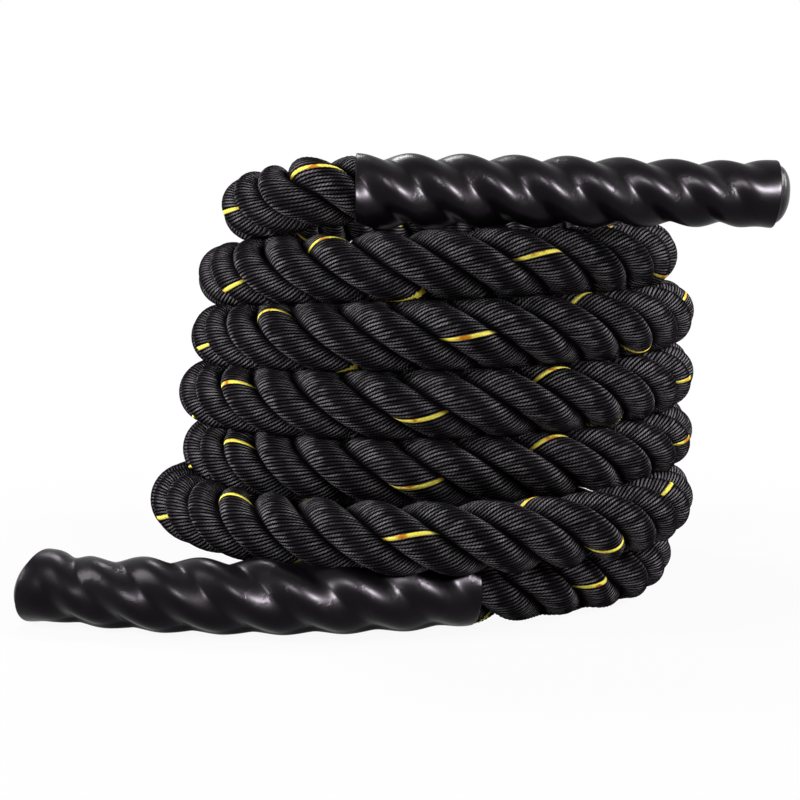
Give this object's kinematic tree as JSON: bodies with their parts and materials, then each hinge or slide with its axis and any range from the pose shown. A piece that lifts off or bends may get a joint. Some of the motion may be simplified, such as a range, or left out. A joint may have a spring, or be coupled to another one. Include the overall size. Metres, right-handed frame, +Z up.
{
  "type": "battle rope",
  "caption": "Heavy laid exercise rope stored as a standing coil, with a shrunk grip sleeve and a domed end cap on each end.",
  "frame": {"origin": "on the floor, below the middle of the whole object's box", "axes": "+Z up along the coil's axis; +X to the right as the upper grip points, along the longest side of the object; +Y away from the viewer"},
  "size_m": [0.4418, 0.37, 0.2618],
  "materials": {
    "rope_fibre": "matt black synthetic yarn with one yellow tracer yarn",
    "whipping_tape": "matt black cloth tape",
    "shrunk_sleeve": "semi-gloss black heat-shrunk tube",
    "moulded_cap": "semi-gloss black moulding"
  },
  "bodies": {
    "coil": {"rope_coil": "rope_fibre", "rope_tail_upper": "rope_fibre", "rope_tail_lower": "rope_fibre"},
    "upper_grip": {"grip_sleeve_upper": "shrunk_sleeve", "end_cap_upper": "moulded_cap", "end_whipping_upper": "whipping_tape", "strand_1_end_upper": "rope_fibre", "strand_2_end_upper": "rope_fibre", "strand_3_end_upper": "rope_fibre"},
    "lower_grip": {"grip_sleeve_lower": "shrunk_sleeve", "end_cap_lower": "moulded_cap", "end_whipping_lower": "whipping_tape", "strand_1_end_lower": "rope_fibre", "strand_2_end_lower": "rope_fibre", "strand_3_end_lower": "rope_fibre"}
  },
  "joints": [
    {"name": "upper_grip_lift", "type": "hinge", "parent": "coil", "child": "upper_grip", "pos_m": [-0.05556, -0.1068, 0.24128], "axis": [0, -1, 0], "range_deg": [0, 45], "deforming": ["rope_tail_upper"]},
    {"name": "lower_grip_swing", "type": "hinge", "parent": "coil", "child": "lower_grip", "pos_m": [0.07259, -0.12755, 0.0206], "axis": [0, 0, 1], "range_deg": [0, 70], "deforming": ["rope_tail_lower"]}
  ]
}
